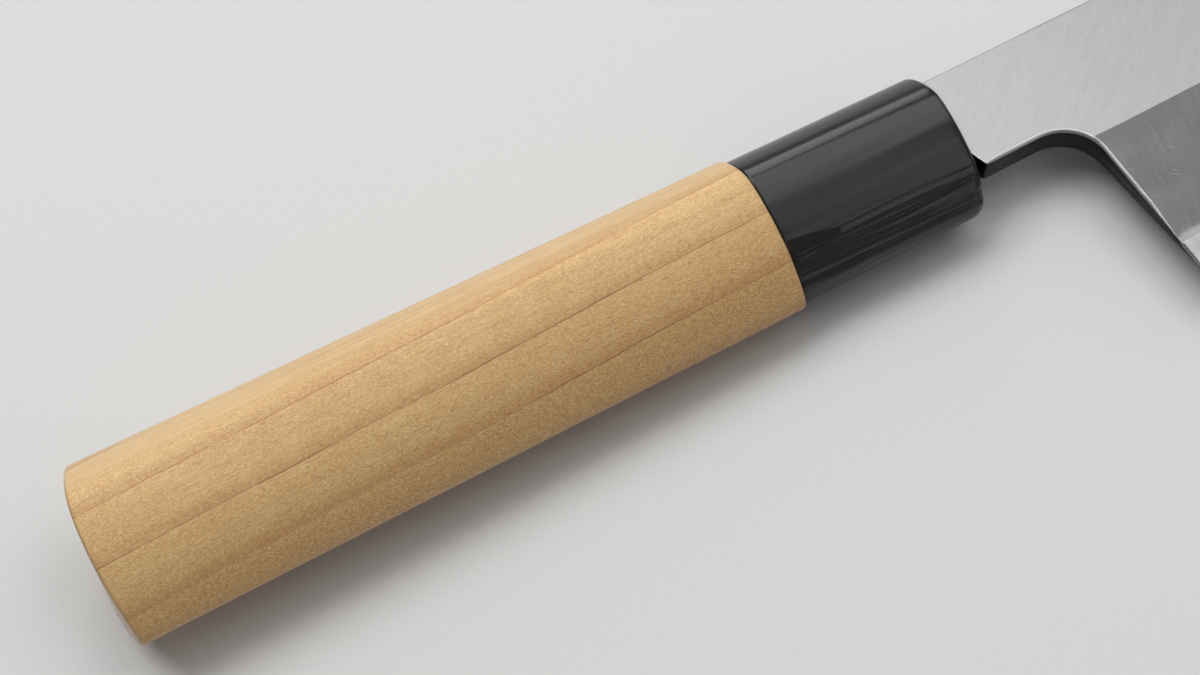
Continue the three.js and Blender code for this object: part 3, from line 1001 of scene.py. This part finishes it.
horn = add_piece("ferrule_horn", *loft(ferrule_rings(), loop=True), [horn_material()], KNIFE)
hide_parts("ferrule")

resin = add_piece("seal_resin", *loft(seal_rings(), loop=True), [resin_material()], KNIFE)
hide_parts("tang_seal")

rim = rim_material()


def make_iron():
    outline = iron_outline()
    choil_top = NECK_BOTTOM - 0.5
    heel_ring = [i for i, p in enumerate(outline.points) if p[0] < HEEL and p[1] < choil_top]
    near = min(heel_ring, key=lambda i: abs(outline.points[i][1] - shinogi(outline.points[i][0])))
    line = [near]
    start = outline.points[near][0]
    for i in range(1, STATIONS):
        x = lerp(start, TIP, i / STATIONS)
        line.append((x, shinogi(x)))
    line.append(outline.marks["shinogi_tip"])
    soft = []
    for i in range(1, 2 * STATIONS):
        x = lerp(start, TIP, i / (2 * STATIONS))
        soft.append((x, shinogi(x) - SHINOGI_SOFT))
    extra = []
    past_station = 1.5
    rows = (0.2, 0.4, 0.6, 0.8)
    for i in range(STATIONS):
        x = station(i) + past_station
        extra += [(x, lerp(shinogi(x), kasumi(x), share)) for share in rows]
    weld = [
        [outline.marks["weld_spine_neck"], outline.marks["weld_neck"]],
        [outline.marks["weld_spine_blade"], outline.marks["weld_neck_blade"]],
    ]
    points, faces, parts = slab(outline, iron_top, iron_bottom, [line, soft], weld, extra, [])
    flat, bevel, edge = 0, 1, 2
    heel_slack = 1
    slots = []
    for face, part in zip(faces, parts):
        middle = sum((Vector(points[i]) for i in face), Vector()) / len(face)
        below = middle.x > start - heel_slack and middle.y < shinogi(middle.x)
        if part == "top" and below:
            slots.append(bevel)
        elif part in ("rim", "wall"):
            slots.append(edge)
        else:
            slots.append(flat)
    materials = [flat_material(), bevel_material(), rim]
    return add_piece("blade_iron", points, faces, materials, BLADE, slots, (flat,))


def make_steel():
    outline = steel_outline()
    extra_top = []
    extra_bottom = []
    margin = 1
    below_weld = 3
    edge_share = 0.8
    for i in range(STATIONS + 1):
        x = lerp(HEEL + margin, TIP - margin, i / STATIONS)
        weld = kasumi(x)
        extra_top += [(x, weld), (x, weld - below_weld), (x, lerp(weld, TIP_BOTTOM, edge_share))]
        for k in range(1, HOLLOW_ROWS):
            extra_bottom.append((x, lerp(TIP_BOTTOM, SPINE_RISE, k / HOLLOW_ROWS)))
    points, faces, parts = slab(outline, steel_top, steel_bottom, [], [], extra_top, extra_bottom)
    part_slots = {"top": 0, "rim": 0, "wall": 1, "bottom": 2}
    slots = [part_slots[part] for part in parts]
    materials = [steel_material(), rim, hollow_material()]
    return add_piece("blade_steel", points, faces, materials, BLADE, slots)


iron = make_iron()
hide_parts("iron_body")

steel = make_steel()
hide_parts("edge_steel")


# Stage, light and camera


FLOOR_REACH = 3.0
WORLD_STRENGTH = 0.2


def add_floor():
    mesh = bpy.data.meshes.new("floor")
    corners = [(x * FLOOR_REACH, y * FLOOR_REACH, 0) for x, y in ((-1, -1), (1, -1), (1, 1), (-1, 1))]
    mesh.from_pydata(corners, [], [(0, 1, 2, 3)])
    g = Graph("pale_floor")
    speck = g.noise((0.8, 0.8, 0.8), detail=2)
    g.set(Base_Color=g.mix(speck, rgb(203, 203, 202), rgb(208, 208, 207)), Roughness=0.7)
    mesh.materials.append(g.material)
    floor = bpy.data.objects.new("floor", mesh)
    bpy.context.scene.collection.objects.link(floor)


def add_softbox(name, place, aim, width, height, power):
    lamp = bpy.data.lights.new(name, "AREA")
    lamp.shape = "RECTANGLE"
    lamp.size, lamp.size_y = width, height
    lamp.energy = power
    holder = bpy.data.objects.new(name, lamp)
    holder.location = place
    holder.rotation_mode = "QUATERNION"
    holder.rotation_quaternion = (Vector(aim) - Vector(place)).to_track_quat("-Z", "Y")
    bpy.context.scene.collection.objects.link(holder)


def add_world():
    world = bpy.data.worlds.new("studio")
    world.use_nodes = True
    background = world.node_tree.nodes["Background"]
    background.inputs["Color"].default_value = (1, 1, 1, 1)
    background.inputs["Strength"].default_value = WORLD_STRENGTH
    bpy.context.scene.world = world


IMAGE_WIDTH = 1200
SENSOR_WIDTH = 36.0
FOCAL_PIXELS = 2520.466
CAMERA_PLACE = Vector((-154.73, -130.691, 315.342)) * MM
CAMERA_FORWARD = Vector((0.18357301, 0.40905876, -0.89385227))
CAMERA_UP = Vector((0.44538597, 0.77600395, 0.44659735))
CAMERA_CLIP = (0.01, 20)

# Each softbox: its place, what it faces, its width and height in metres, and its power in watts
SOFTBOXES = {
    "key": ((-0.3, 0.45, 0.98), (-0.08, 0, 0), 0.7, 0.6, 7.6),
    "overhead": ((0.5, 0.16, 1.1), (0.5, 0.16, 0), 0.8, 0.98, 4.7),
    "back": ((0.21, 0.79, 0.54), (-0.05, 0, 0), 0.3, 0.7, 1.8),
    "side": ((0.35, -0.65, 0.72), (-0.05, 0, 0), 0.3, 1.1, 0.8),
    "front": ((1.0, 0.2, 0.45), (-0.05, 0, 0), 0.5, 0.7, 1.0),
}


def add_camera():
    data = bpy.data.cameras.new("camera")
    data.sensor_fit = "HORIZONTAL"
    data.sensor_width = SENSOR_WIDTH
    data.lens = FOCAL_PIXELS / IMAGE_WIDTH * SENSOR_WIDTH
    data.clip_start, data.clip_end = CAMERA_CLIP
    camera = bpy.data.objects.new("camera", data)
    right = CAMERA_FORWARD.cross(CAMERA_UP)
    turned = Matrix((right, CAMERA_UP, -CAMERA_FORWARD)).transposed()
    camera.matrix_world = Matrix.Translation(CAMERA_PLACE) @ turned.to_4x4()
    bpy.context.scene.collection.objects.link(camera)
    bpy.context.scene.camera = camera


add_floor()
add_world()
for lamp_name, lamp_setup in SOFTBOXES.items():
    add_softbox(lamp_name, *lamp_setup)
add_camera()
bpy.context.scene.view_settings.view_transform = "Standard"
